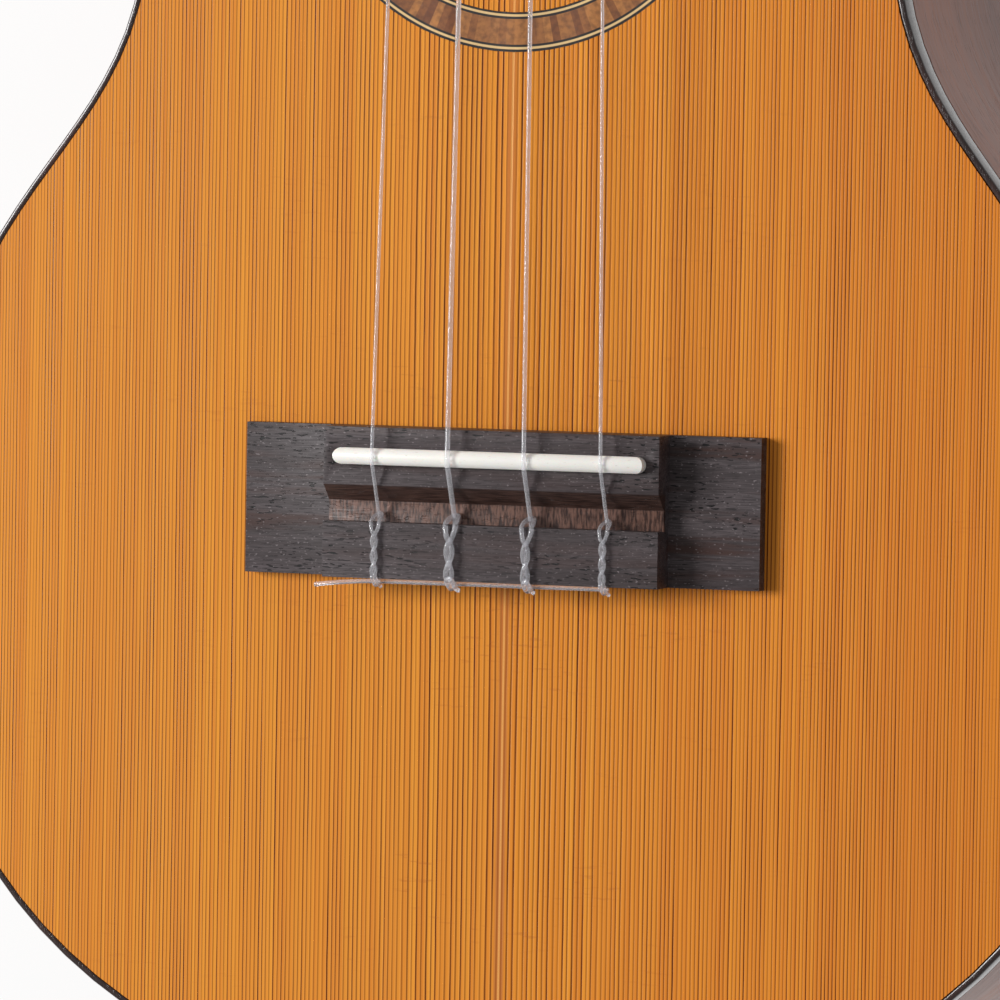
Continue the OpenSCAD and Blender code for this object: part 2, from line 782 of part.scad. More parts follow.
// The teeth follow a cosine, which is the worm's own section
function gear_points() = [for (k = [0:gear_teeth * 8 - 1]) let (a = 90 + 360 * k / (gear_teeth * 8))
    (gear_r + tooth_h / 2 * cos(gear_teeth * (a - 90)) - 0.05) * [cos(a), sin(a)]];

module gear(i) {
    side = square_w + 2 * hair;
    color("goldenrod") at_tuner(i) translate([0, 0, gear_bottom_w]) difference() {
        linear_extrude(gear_t) polygon(gear_points());
        translate([-side / 2, -side / 2, -over]) cube([side, side, gear_t + 2 * over]);
    }
}

module gear_screw(i) {
    color("silver") at_tuner(i) translate([0, 0, gear_bottom_w]) difference() {
        union() {
            cylinder(r = screw_r - hair, h = gear_t + 2);
            translate([0, 0, -gear_screw_head_h])
                cylinder(r1 = gear_screw_head_r - 0.6, r2 = gear_screw_head_r, h = gear_screw_head_h);
        }
        driver_slot(gear_screw_head_r, gear_screw_head_h);
    }
}

// The turns of string on a post
module winding(i) {
    color("white") at_tuner(i) translate([0, 0, wind_w]) difference() {
        cylinder(r = wind_r(i), h = wind_h(i));
        translate([0, 0, -over]) cylinder(r = post_r - groove_depth + hair, h = wind_h(i) + 2 * over);
    }
}

// ---- Strings ----

string_sides = 8;
function unit(v) = v / norm(v);
function tangent(p, i) = unit(p[min(i + 1, len(p) - 1)] - p[max(i - 1, 0)]);
function ring(p, i, r) = let (n = unit(cross([1, 0, 0], tangent(p, i))), b = cross(tangent(p, i), n))
    [for (k = [0:string_sides - 1]) let (a = 360 * (k + 0.5) / string_sides)
        p[i] + r * (cos(a) * b + sin(a) * n)];

module tube(p, r) {
    n = string_sides;
    last = len(p) - 1;
    polyhedron([for (i = [0:last], q = ring(p, i, r)) q], concat(
        [[for (k = [n - 1:-1:0]) k]],
        [[for (k = [0:n - 1]) last * n + k]],
        [for (i = [0:last - 1], k = [0:n - 1]) [i * n + k, i * n + (k + 1) % n, (i + 1) * n + (k + 1) % n]],
        [for (i = [0:last - 1], k = [0:n - 1]) [i * n + k, (i + 1) * n + (k + 1) % n, (i + 1) * n + k]]));
}

// The string's route from its post over the nut and the saddle, through the tie block, and back over it
wind_gap = 0.3;
tie_corner = 0.5;

function string_route(i) = let (
    r = string_r(i),
    x0 = string_x(i, nut_spread),
    x1 = string_x(i, saddle_spread),
    over_saddle = saddle_top + r + hair,
    in_hole = top_z + tie_h,
    over_tie = top_z + block_h + r + hair,
    behind = -bridge_back - r - 0.15)
    [head_point(tuner_side(i) * (post_u - wind_r(i) - wind_gap - r), tuner_v(i), wind_w + r),
        [x0, nut_end_y + 0.3, nut_top + r - 0.03],
        [x0, nut_end_y, nut_top + r],
        [x0, scale_length, nut_top + r],
        [x1, saddle_t / 4, over_saddle],
        [x1, -saddle_t / 4, over_saddle],
        [x1, -tie_front + 0.8, in_hole + 0.2],
        [x1, -tie_front - 0.6, in_hole],
        [x1, -bridge_back, in_hole],
        [x1, behind + 0.05, in_hole + 0.1],
        [x1, behind, in_hole + tie_corner],
        [x1, behind, over_tie - tie_corner],
        [x1, behind + 0.3, over_tie],
        [x1, behind + 1, over_tie],
        [x1, -tie_front - r - 0.3, over_tie]];

module string(i) {
    color("#e8eef0") tube(string_route(i), string_r(i));
}

// ---- Nodes ----

soundboard();
back();
back_strip();
rib_bass();
rib_treble();
tail_strip();
linings();
binding(top_z - binding_h);  // top_binding
binding(0);  // back_binding
neck_block();
tail_block();
rosette();
cross_braces();
fan_braces();
back_braces();
bridge_plate();
neck();
heel_cap();
headstock();
head_veneer();
fingerboard();
frets();
position_dots();
nut();
bridge();
saddle();
tuner_bushings();
plate_screws();
for (i = [0:3]) {
    n = i + 1;
    string(i);
    tuner_plate(i);
    worm_shaft(i);
    button(i);
    post(i);
    gear(i);
    gear_screw(i);
    winding(i);
}
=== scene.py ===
"""Tenor ukulele: looks, strings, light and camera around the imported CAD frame.

Metres, in the row frame: X runs across the strings (treble side +X), Y runs along them towards the
head, and Z points out of the soundboard.
"""

import json
import math

import bpy
from mathutils import Matrix, Vector


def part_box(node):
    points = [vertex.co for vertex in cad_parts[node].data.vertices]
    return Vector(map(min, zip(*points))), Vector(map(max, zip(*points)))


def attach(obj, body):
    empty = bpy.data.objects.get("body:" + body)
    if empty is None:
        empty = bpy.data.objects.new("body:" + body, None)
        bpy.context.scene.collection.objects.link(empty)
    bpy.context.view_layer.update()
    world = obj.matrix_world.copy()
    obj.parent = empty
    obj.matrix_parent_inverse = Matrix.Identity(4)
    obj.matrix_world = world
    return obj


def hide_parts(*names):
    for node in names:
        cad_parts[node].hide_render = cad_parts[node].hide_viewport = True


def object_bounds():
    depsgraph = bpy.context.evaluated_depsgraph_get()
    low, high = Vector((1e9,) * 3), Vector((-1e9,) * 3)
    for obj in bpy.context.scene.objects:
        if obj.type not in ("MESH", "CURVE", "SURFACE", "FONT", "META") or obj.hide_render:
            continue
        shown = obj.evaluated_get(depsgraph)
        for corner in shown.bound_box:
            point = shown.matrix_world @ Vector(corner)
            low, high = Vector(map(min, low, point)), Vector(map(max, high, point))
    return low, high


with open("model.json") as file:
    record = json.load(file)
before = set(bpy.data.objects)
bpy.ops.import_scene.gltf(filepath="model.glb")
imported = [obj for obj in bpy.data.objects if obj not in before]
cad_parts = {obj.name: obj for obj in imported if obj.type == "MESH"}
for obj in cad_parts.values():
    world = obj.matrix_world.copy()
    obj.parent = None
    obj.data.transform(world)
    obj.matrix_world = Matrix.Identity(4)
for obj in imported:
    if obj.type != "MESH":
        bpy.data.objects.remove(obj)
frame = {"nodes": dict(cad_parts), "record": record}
cad_low, cad_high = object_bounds()
nodes = frame["nodes"]

MM = 0.001


# ---------------------------------------------------------------- camera, light and floor

VIEW_TARGET = Vector((-1.16, -7.38, 70.0)) * MM
VIEW_DISTANCE = 1.6
VIEW_YAW = math.radians(20)
VIEW_TILT = math.radians(-3)
VIEW_ROLL = math.radians(0.95)
VIEW_LENS = 327.8
ROOM_LIGHT = 0.30


def place_camera():
    """Looks down on the bridge from the treble side, as the photograph does."""
    data = bpy.data.cameras.new("camera")
    data.lens = VIEW_LENS
    data.sensor_width = 36
    data.clip_end = 50
    camera = bpy.data.objects.new("camera", data)
    bpy.context.collection.objects.link(camera)
    turn = Matrix.Rotation(VIEW_YAW, 4, "Y") @ Matrix.Rotation(VIEW_TILT, 4, "X")
    turn = turn @ Matrix.Rotation(VIEW_ROLL, 4, "Z")
    away = (turn @ Vector((0, 0, 1))) * VIEW_DISTANCE
    camera.matrix_world = Matrix.Translation(VIEW_TARGET + away) @ turn
    bpy.context.scene.camera = camera


def soft_box(name, place, size, power, target=VIEW_TARGET):
    """A square studio lamp that faces its target."""
    data = bpy.data.lights.new(name, "AREA")
    data.size = size
    data.energy = power
    lamp = bpy.data.objects.new(name, data)
    lamp.location = place
    lamp.rotation_euler = (target - Vector(place)).to_track_quat("-Z", "Y").to_euler()
    bpy.context.collection.objects.link(lamp)


def light_scene():
    """A soft box high on the bass side, and a pale room around it."""
    soft_box("key_box", (-1.75, 0.3, 1.60), 0.95, 56)
    world = bpy.data.worlds.new("room")
    world.use_nodes = True
    back = world.node_tree.nodes["Background"]
    back.inputs["Color"].default_value = (1, 1, 1, 1)
    rays = world.node_tree.nodes.new("ShaderNodeLightPath")
    seen = world.node_tree.nodes.new("ShaderNodeMath")
    seen.operation = "MAXIMUM"
    world.node_tree.links.new(rays.outputs["Is Camera Ray"], seen.inputs[0])
    world.node_tree.links.new(rays.outputs["Is Transmission Ray"], seen.inputs[1])
    level = world.node_tree.nodes.new("ShaderNodeMapRange")
    level.inputs["To Min"].default_value = ROOM_LIGHT
    level.inputs["To Max"].default_value = 1.0
    world.node_tree.links.new(seen.outputs[0], level.inputs["Value"])
    world.node_tree.links.new(level.outputs[0], back.inputs["Strength"])
    bpy.context.scene.world = world


def lay_floor():
    """A plain pale floor under the part, nearly white to the camera, that keeps the part's shadow."""
    level = cad_low.z - 0.0005
    mesh = bpy.data.meshes.new("floor")
    reach = 30
    mesh.from_pydata(
        [(-reach, -reach, level), (reach, -reach, level), (reach, reach, level), (-reach, reach, level)],
        [],
        [(0, 1, 2, 3)],
    )
    floor = bpy.data.objects.new("floor", mesh)
    bpy.context.collection.objects.link(floor)
    paint = Paint("floor_paper", Roughness=0.9)
    fleck = paint.noise(40, 40, 40, detail=3)
    paint.colour(paint.mix(fleck, rgb(244, 244, 243), rgb(249, 249, 248)))
    glow = paint.nodes.new("ShaderNodeEmission")
    rays = paint.nodes.new("ShaderNodeLightPath")
    seen = paint.math("MAXIMUM", rays.outputs["Is Camera Ray"], rays.outputs["Is Glossy Ray"])
    seen = paint.math("MAXIMUM", seen, rays.outputs["Is Transmission Ray"])
    blend = paint.nodes.new("ShaderNodeMixShader")
    paint.put(blend.inputs[0], paint.math("MULTIPLY", seen, 0.72))
    paint.put(blend.inputs[1], paint.shader.outputs[0])
    paint.put(blend.inputs[2], glow.outputs[0])
    paint.put(paint.nodes["Material Output"].inputs["Surface"], blend.outputs[0])
    mesh.materials.append(paint.material)


# ---------------------------------------------------------------- material helpers


def rgb(red, green, blue):
    """An sRGB colour from 0 to 255, as the linear colour that a socket takes."""

    def linear(channel):
        channel /= 255
        return channel / 12.92 if channel <= 0.04045 else ((channel + 0.055) / 1.055) ** 2.4

    return (linear(red), linear(green), linear(blue), 1.0)


class Paint:
    """One material's node tree, with a short call for each kind of node used here."""

    def __init__(self, name, **finish):
        self.material = bpy.data.materials.new(name)
        self.material.use_nodes = True
        self.nodes = self.material.node_tree.nodes
        self.links = self.material.node_tree.links
        self.shader = self.nodes["Principled BSDF"]
        for socket, value in finish.items():
            self.shader.inputs[socket.replace("_", " ")].default_value = value
        self.place = self.nodes.new("ShaderNodeTexCoord").outputs["Object"]

    def put(self, socket, value):
        """Links a node's output to the socket, or sets a plain value on it."""
        if isinstance(value, bpy.types.NodeSocket):
            self.links.new(value, socket)
        else:
            socket.default_value = value

    def math(self, operation, *values):
        node = self.nodes.new("ShaderNodeMath")
        node.operation = operation
        for socket, value in zip(node.inputs, values):
            self.put(socket, value)
        return node.outputs[0]

    def split(self):
        """The place's X, Y and Z, in metres."""
        node = self.nodes.new("ShaderNodeSeparateXYZ")
        self.put(node.inputs[0], self.place)
        return node.outputs

    def noise(self, x, y, z, detail=2, shift=0, place=None):
        """Noise with that many cells per metre along each axis, from 0 to 1."""
        mapping = self.nodes.new("ShaderNodeMapping")
        mapping.inputs["Scale"].default_value = (x, y, z)
        mapping.inputs["Location"].default_value = (shift, shift, shift)
        self.put(mapping.inputs["Vector"], place or self.place)
        node = self.nodes.new("ShaderNodeTexNoise")
        node.inputs["Scale"].default_value = 1
        node.inputs["Detail"].default_value = detail
        self.put(node.inputs["Vector"], mapping.outputs[0])
        return node.outputs[0]

    def chance(self, value):
        """A random number from 0 to 1 for each whole value."""
        node = self.nodes.new("ShaderNodeTexWhiteNoise")
        node.noise_dimensions = "1D"
        self.put(node.inputs["W"], value)
        return node.outputs["Value"]

    def ramp(self, value, low, high, start=0.0, end=1.0):
        """A smooth step from start to end, as value goes from low to high."""
        node = self.nodes.new("ShaderNodeMapRange")
        node.interpolation_type = "SMOOTHSTEP"
        self.put(node.inputs["Value"], value)
        for socket, number in zip(("From Min", "From Max", "To Min", "To Max"), (low, high, start, end)):
            node.inputs[socket].default_value = number
        return node.outputs["Result"]

    def mix(self, factor, first, second, way="MIX"):
        node = self.nodes.new("ShaderNodeMix")
        node.data_type = "RGBA"
        node.blend_type = way
        self.put(node.inputs[0], factor)
        self.put(node.inputs[6], first)
        self.put(node.inputs[7], second)
        return node.outputs[2]

    def colour(self, value):
        self.put(self.shader.inputs["Base Color"], value)

    def rough(self, value):
        self.put(self.shader.inputs["Roughness"], value)

    def bump(self, height, depth):
        """Relief of that depth in metres."""
        node = self.nodes.new("ShaderNodeBump")
        node.inputs["Distance"].default_value = depth
        self.put(node.inputs["Height"], height)
        self.put(self.shader.inputs["Normal"], node.outputs[0])


# ---------------------------------------------------------------- woods


def cedar():
    """Bookmatched cedar: crisp growth rings along Y, closer together towards the edges, and a glue seam;
    the treble side is darker and redder, partly its own tone and partly painted shade.
    """
    paint = Paint("cedar_top", Roughness=0.3, Specular_IOR_Level=0.14)
    x, y, _ = paint.split()
    off_seam = paint.math("ABSOLUTE", x)
    combine = paint.nodes.new("ShaderNodeCombineXYZ")
    paint.put(combine.inputs[0], off_seam)
    paint.put(combine.inputs[1], y)
    book = combine.outputs[0]

    sway = paint.noise(22, 5, 1, detail=1, place=book)
    uneven = paint.noise(330, 2.5, 1, detail=1, shift=3.1, place=book)
    waver = paint.noise(420, 130, 1, detail=1, shift=8.3, place=book)
    count = paint.math("MULTIPLY", off_seam, 1010)
    closer = paint.math("MULTIPLY", paint.math("MULTIPLY", off_seam, off_seam), 3700)
    count = paint.math("ADD", count, closer)
    count = paint.math("ADD", count, paint.math("MULTIPLY", sway, 1.2))
    count = paint.math("ADD", count, paint.math("MULTIPLY", uneven, 0.8))
    count = paint.math("ADD", count, paint.math("MULTIPLY", waver, 0.12))

    ring = paint.math("FLOOR", count)
    part = paint.math("FRACT", count)
    own = paint.chance(ring)
    other = paint.chance(paint.math("ADD", ring, 411.7))
    rise = paint.ramp(part, 0.50, 0.78)
    fall = paint.ramp(part, 0.90, 1.0, 1.0, 0.0)
    late = paint.math("MULTIPLY", rise, fall)
    along = paint.noise(900, 28, 1, detail=2, shift=1.7, place=book)
    depth = paint.math("MULTIPLY_ADD", own, 0.5, 0.5)
    depth = paint.math("MULTIPLY", depth, paint.ramp(along, 0.25, 0.75, 0.7, 1.15))
    late = paint.math("MULTIPLY", late, depth)
    edge = paint.math("MULTIPLY", paint.ramp(part, 0.0, 0.22, 1.0, 0.0), depth)

    early = paint.mix(other, rgb(241, 158, 52), rgb(230, 142, 46))
    tone = paint.noise(34, 4, 1, detail=2, shift=5.5, place=book)
    early = paint.mix(paint.ramp(tone, 0.35, 0.7, 0.0, 0.3), early, rgb(216, 126, 48))
    fibre = paint.noise(3600, 22, 1, detail=3, shift=2.2, place=book)
    early = paint.mix(paint.ramp(fibre, 0.3, 0.7, 0.0, 0.22), early, rgb(190, 100, 30))
    wood = paint.mix(paint.math("MULTIPLY", edge, 0.5), early, rgb(250, 182, 104))
    wood = paint.mix(late, wood, rgb(92, 34, 4))

    silk_place = paint.ramp(paint.noise(60, 60, 1, detail=1, shift=9.1, place=book), 0.5, 0.72)
    silk = paint.ramp(paint.noise(230, 1500, 1, detail=2, shift=4.4), 0.58, 0.74)
    near = paint.ramp(off_seam, 0.02, 0.05, 0.34, 0.14)
    silk = paint.math("MULTIPLY", paint.math("MULTIPLY", silk, silk_place), near)
    wood = paint.mix(silk, wood, rgb(160, 84, 36))

    band_edge = paint.noise(900, 60, 1, detail=1, shift=6.1, place=book)
    far = paint.math("MULTIPLY_ADD", band_edge, 0.0006, paint.math("SUBTRACT", off_seam, 0.0003))
    band = paint.ramp(far, 0.0006, 0.0012, 0.55, 0.0)
    wood = paint.mix(band, wood, rgb(170, 92, 50))
    wood = paint.mix(paint.ramp(off_seam, 0.00010, 0.00024, 0.85, 0.0), wood, rgb(246, 178, 98))
    # Darker and redder towards the treble side, away from the lamp: partly the top's own warmer tone,
    # partly painted shade.
    treble_warmth_and_painted_shade = paint.ramp(x, -0.03, 0.11, 0.0, 0.6)
    wood = paint.mix(treble_warmth_and_painted_shade, wood, (0.93, 0.72, 0.66, 1.0), "MULTIPLY")
    paint.colour(wood)
    paint.rough(paint.ramp(late, 0.0, 0.8, 0.34, 0.26))
    paint.bump(paint.math("MULTIPLY_ADD", late, -0.7, paint.math("MULTIPLY", fibre, 0.3)), 0.00003)
    return paint.material


def plain_wood(name, light, dark, pore, along, band=55, pores=0.5, roughness=0.35, **finish):
    """A wood with its grain along one axis or plane: broad bands, fine fibres and short open pores."""
    paint = Paint(name, Roughness=roughness, **finish)

    def grain(across, lengthwise, detail, shift):
        scale = [lengthwise if axis in along else across for axis in "XYZ"]
        return paint.noise(*scale, detail=detail, shift=shift)

    bands = grain(band, band * 0.07, 3, 0.3)
    fibres = grain(band * 26, band * 0.5, 3, 1.9)
    open_pores = paint.ramp(grain(band * 44, band * 4.5, 1, 4.2), 0.60, 0.70)
    wood = paint.mix(paint.ramp(bands, 0.3, 0.7), dark, light)
    wood = paint.mix(paint.ramp(fibres, 0.3, 0.75, 0.0, 0.55), wood, dark)
    wood = paint.mix(paint.math("MULTIPLY", open_pores, pores), wood, pore)
    paint.colour(wood)
    paint.rough(paint.ramp(fibres, 0.2, 0.8, roughness + 0.08, roughness - 0.05))
    paint.bump(paint.math("MULTIPLY_ADD", open_pores, -0.8, paint.math("MULTIPLY", fibres, 0.2)), 0.00004)
    return paint.material


def bridge_rosewood():
    """Dyed rosewood, open-pored along X, with painted glints on the pores, a raw brown floor where the
    string channel is cut, and painted shade on the slope behind the saddle.
    """
    paint = Paint("bridge_rosewood", Roughness=0.4, Specular_IOR_Level=0.3)
    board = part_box("soundboard")[1].z
    _, y, z = paint.split()
    streaks = paint.noise(14, 420, 420, detail=3)
    fine = paint.noise(260, 4200, 4200, detail=2, shift=1.3)
    grey = paint.mix(paint.ramp(streaks, 0.35, 0.68), rgb(68, 59, 60), rgb(92, 83, 85))
    grey = paint.mix(paint.ramp(fine, 0.3, 0.7, 0.0, 0.75), grey, rgb(44, 36, 37))
    brown_at = paint.ramp(paint.noise(22, 420, 420, detail=2, shift=7.7), 0.50, 0.70, 0.0, 0.85)
    brown_at = paint.math("MULTIPLY", brown_at, paint.ramp(z, board + 0.003, board + 0.005, 1.0, 0.35))
    wood = paint.mix(brown_at, grey, rgb(66, 42, 36))
    pore = paint.ramp(paint.noise(520, 2500, 2500, detail=1, shift=2.9), 0.62, 0.66)
    cluster = paint.ramp(paint.noise(45, 160, 160, detail=1, shift=5.9), 0.42, 0.6, 0.25, 1.0)
    pore = paint.math("MULTIPLY", pore, cluster)
    wood = paint.mix(pore, wood, rgb(14, 11, 12))
    # Painted highlight: pale specks mixed into the colour as glints of light on the pores.
    painted_glint = paint.ramp(paint.noise(1500, 3000, 3000, detail=1, shift=9.4), 0.66, 0.74, 0.0, 0.6)
    wood = paint.mix(painted_glint, wood, rgb(140, 130, 132))

    over_wings = paint.ramp(z, board + 4.6 * MM, board + 5.0 * MM)
    floor_top = board + 5.75 * MM
    raw = paint.ramp(z, floor_top, floor_top + 0.4 * MM, 1.0, 0.0)
    raw = paint.math("MULTIPLY", raw, paint.ramp(y, -0.0118, -0.0115))
    raw = paint.math("MULTIPLY", raw, paint.ramp(y, -0.0082, -0.0078, 1.0, 0.0))
    raw = paint.math("MULTIPLY", raw, over_wings)
    # The cut slope behind the saddle: its own raw brown, darkened further with painted shade where it faces
    # away from the light.
    cut = paint.ramp(y, -0.0084, -0.0078)
    cut = paint.math("MULTIPLY", cut, paint.ramp(y, -0.0053, -0.0050, 1.0, 0.0))
    cut = paint.math("MULTIPLY", cut, over_wings)
    slope_with_painted_shade = paint.mix(paint.ramp(fine, 0.3, 0.7), rgb(40, 27, 24), rgb(78, 56, 49))
    wood = paint.mix(cut, wood, slope_with_painted_shade)
    marks = paint.noise(2300, 420, 420, detail=3, shift=3.3)
    raw_wood = paint.mix(paint.ramp(marks, 0.35, 0.65), rgb(52, 34, 30), rgb(116, 84, 72))
    wood = paint.mix(raw, wood, raw_wood)
    paint.colour(wood)
    paint.rough(paint.ramp(fine, 0.25, 0.75, 0.34, 0.52))
    relief = paint.math("MULTIPLY_ADD", pore, -1.0, paint.math("MULTIPLY", fine, 0.25))
    relief = paint.math("MULTIPLY_ADD", paint.math("MULTIPLY", marks, raw), 0.6, relief)
    paint.bump(relief, 0.00007)
    return paint.material


ROSETTE_BLOCKS = 168


def rosette_wood():
    """Rings about the sound hole: black and pale lines, with a band of small dark and light blocks."""
    paint = Paint("rosette_wood", Roughness=0.34)
    low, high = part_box("rosette")
    centre_y = (low.y + high.y) / 2
    outer = (high.x - low.x) / 2
    width = 7 * MM
    inner = outer - width
    x, y, _ = paint.split()
    rise = paint.math("SUBTRACT", y, centre_y)
    square = paint.math("MULTIPLY_ADD", x, x, paint.math("MULTIPLY", rise, rise))
    radius = paint.math("SQRT", square)
    angle = paint.math("ARCTAN2", rise, x)
    block = paint.math("FLOOR", paint.math("MULTIPLY", angle, ROSETTE_BLOCKS / (2 * math.pi)))
    tone = paint.chance(block)
    streak = paint.noise(900, 900, 900, detail=3)
    black = rgb(22, 16, 14)
    pale = rgb(226, 190, 132)
    soft = 0.04 * MM
    colour = paint.mix(tone, rgb(120, 66, 30), rgb(188, 124, 62))
    colour = paint.mix(paint.ramp(streak, 0.35, 0.7, 0.0, 0.5), colour, rgb(70, 34, 16))
    for start, end, line in (
        (0.0, 0.06, black),
        (0.06, 0.12, pale),
        (0.12, 0.18, black),
        (0.82, 0.88, black),
        (0.88, 0.94, pale),
        (0.94, 1.02, black),
    ):
        after = paint.ramp(radius, inner + start * width - soft, inner + start * width + soft)
        before = paint.ramp(radius, inner + end * width - soft, inner + end * width + soft, 1.0, 0.0)
        colour = paint.mix(paint.math("MULTIPLY", after, before), colour, line)
    paint.colour(colour)
    paint.bump(streak, 0.00001)
    return paint.material


# ---------------------------------------------------------------- bone, pearl, metal, plastic and strings


def bone():
    """Polished bone with faint streaks along X and tiny dark canals."""
    paint = Paint("bone", Roughness=0.28, Subsurface_Weight=0.08, Subsurface_Scale=0.001)
    streak = paint.noise(60, 900, 900, detail=3)
    canals = paint.ramp(paint.noise(900, 5200, 5200, detail=1, shift=2.0), 0.68, 0.74, 0.0, 0.35)
    colour = paint.mix(streak, rgb(255, 253, 248), rgb(249, 245, 236))
    paint.colour(paint.mix(canals, colour, rgb(196, 184, 164)))
    paint.rough(paint.ramp(streak, 0.3, 0.7, 0.24, 0.36))
    paint.bump(canals, 0.00001)
    return paint.material


def pearl():
    """Shell with soft clouds of pink, green and blue."""
    paint = Paint("pearl", Roughness=0.18, Coat_Weight=0.6)
    cloud = paint.noise(420, 420, 420, detail=4)
    drift = paint.noise(260, 700, 260, detail=3, shift=6.0)
    colour = paint.mix(paint.ramp(cloud, 0.35, 0.65), rgb(236, 234, 226), rgb(206, 222, 220))
    colour = paint.mix(paint.ramp(drift, 0.45, 0.65, 0.0, 0.6), colour, rgb(232, 208, 214))
    paint.colour(colour)
    paint.rough(paint.ramp(cloud, 0.3, 0.7, 0.14, 0.26))
    return paint.material


def metal(name, light, dark, roughness, x, y, z):
    """Drawn or polished metal, with fine marks of those counts per metre and faint tarnish."""
    paint = Paint(name, Metallic=1.0, Roughness=roughness)
    marks = paint.noise(x, y, z, detail=3)
    tarnish = paint.noise(120, 120, 120, detail=4, shift=3.0)
    paint.colour(paint.mix(paint.ramp(tarnish, 0.4, 0.75, 0.0, 0.6), light, dark))
    paint.rough(paint.ramp(marks, 0.3, 0.7, roughness - 0.06, roughness + 0.1))
    paint.bump(marks, 0.000006)
    return paint.material


def button_plastic():
    """Ivory-coloured plastic with a cloudy grain."""
    paint = Paint("button_plastic", Roughness=0.22, Coat_Weight=0.4, Coat_Roughness=0.08)
    cloud = paint.noise(160, 420, 160, detail=4)
    fleck = paint.noise(1500, 1500, 1500, detail=2, shift=2.0)
    colour = paint.mix(paint.ramp(cloud, 0.3, 0.7), rgb(238, 232, 216), rgb(222, 212, 188))
    paint.colour(paint.mix(paint.ramp(fleck, 0.55, 0.75, 0.0, 0.3), colour, rgb(246, 242, 232)))
    paint.rough(paint.ramp(fleck, 0.3, 0.7, 0.18, 0.3))
    return paint.material


def clear_string():
    """Clear fluorocarbon, a little milky, with faint marks along its length."""
    paint = Paint("clear_string", Roughness=0.06, IOR=1.42, Transmission_Weight=0.8)
    cloud = paint.noise(500, 60, 500, detail=2)
    scuff = paint.noise(4000, 240, 4000, detail=2, shift=1.0)
    colour = paint.mix(cloud, rgb(250, 250, 252), rgb(236, 236, 242))
    paint.colour(paint.mix(paint.ramp(scuff, 0.6, 0.8, 0.0, 0.4), colour, rgb(250, 250, 252)))
    paint.rough(paint.ramp(scuff, 0.3, 0.8, 0.04, 0.16))
    return paint.material


def make_finishes():
    """One finished material for each of the record's slots, and one for the bent sides."""
    mahogany = (rgb(166, 88, 44), rgb(116, 54, 26), rgb(60, 26, 12))
    gloss = {"Specular_IOR_Level": 0.3, "Coat_Weight": 0.1}
    polish = {"Coat_Weight": 0.6, "Coat_Roughness": 0.06}
    trim = (rgb(70, 40, 32), rgb(36, 20, 17), rgb(16, 9, 8))
    board = (rgb(88, 58, 46), rgb(50, 32, 27), rgb(20, 12, 10))
    spruce = (rgb(226, 196, 150), rgb(200, 164, 116), rgb(170, 128, 84))
    nickel = (rgb(214, 212, 206), rgb(188, 184, 176))
    brass = (rgb(214, 178, 104), rgb(168, 128, 70))
    chrome = (rgb(216, 216, 218), rgb(184, 184, 188))
    return {
        "cedar_top": cedar(),
        "mahogany": plain_wood("mahogany", *mahogany, "Y", **gloss),
        "bent_mahogany": plain_wood("bent_mahogany", *mahogany, "XY", **gloss),
        "dark_trim": plain_wood("dark_trim", *trim, "Y", band=120, roughness=0.24, **polish),
        "bridge_rosewood": bridge_rosewood(),
        "board_rosewood": plain_wood("board_rosewood", *board, "Y", band=130, pores=0.8, roughness=0.42),
        "inner_spruce": plain_wood("inner_spruce", *spruce, "Y", band=260, pores=0.2, roughness=0.6),
        "rosette_wood": rosette_wood(),
        "bone": bone(),
        "pearl": pearl(),
        "fret_metal": metal("fret_metal", *nickel, 0.22, 60, 5000, 5000),
        "clear_string": clear_string(),
        "button_plastic": button_plastic(),
        "gear_brass": metal("gear_brass", *brass, 0.3, 2500, 2500, 2500),
        "tuner_metal": metal("tuner_metal", *chrome, 0.2, 3000, 400, 3000),
    }


# ---------------------------------------------------------------- CAD nodes: finish and rounded edges

TUNERS = (1, 2, 3, 4)

EDGE_ROUNDS = {
    "bridge": 0.22,
    "saddle": 0.4,
    "nut": 0.35,
    "top_binding": 0.45,
    "back_binding": 0.45,
    "headstock": 0.8,
    "head_veneer": 0.25,
    "fingerboard": 0.3,
    "heel_cap": 0.3,
    "tail_strip": 0.1,
    **{f"tuner_plate_{i}": 0.15 for i in TUNERS},
    **{f"button_{i}": 0.6 for i in TUNERS},
    **{f"gear_{i}": 0.1 for i in TUNERS},
    **{f"post_{i}": 0.2 for i in TUNERS},
    **{f"gear_screw_{i}": 0.12 for i in TUNERS},
}


SMOOTH_BELOW = math.radians(32)


def smooth_shading():
    """A node group that shades a mesh smooth, but keeps edges that turn more than SMOOTH_BELOW sharp."""
    group = bpy.data.node_groups.new("smooth_shading", "GeometryNodeTree")
    group.interface.new_socket("Geometry", in_out="INPUT", socket_type="NodeSocketGeometry")
    group.interface.new_socket("Geometry", in_out="OUTPUT", socket_type="NodeSocketGeometry")
    start = group.nodes.new("NodeGroupInput")
    drop = group.nodes.new("GeometryNodeRemoveAttribute")
    drop.inputs["Name"].default_value = "custom_normal"
    faces = group.nodes.new("GeometryNodeSetShadeSmooth")
    edges = group.nodes.new("GeometryNodeSetShadeSmooth")
    edges.domain = "EDGE"
    angle = group.nodes.new("GeometryNodeInputMeshEdgeAngle")
    gentle = group.nodes.new("FunctionNodeCompare")
    gentle.operation = "LESS_THAN"
    gentle.inputs["B"].default_value = SMOOTH_BELOW
    end = group.nodes.new("NodeGroupOutput")
    group.links.new(start.outputs[0], drop.inputs["Geometry"])
    group.links.new(drop.outputs[0], faces.inputs["Geometry"])
    group.links.new(faces.outputs[0], edges.inputs["Geometry"])
    group.links.new(angle.outputs["Unsigned Angle"], gentle.inputs["A"])
    group.links.new(gentle.outputs[0], edges.inputs["Shade Smooth"])
    group.links.new(edges.outputs[0], end.inputs[0])
    return group


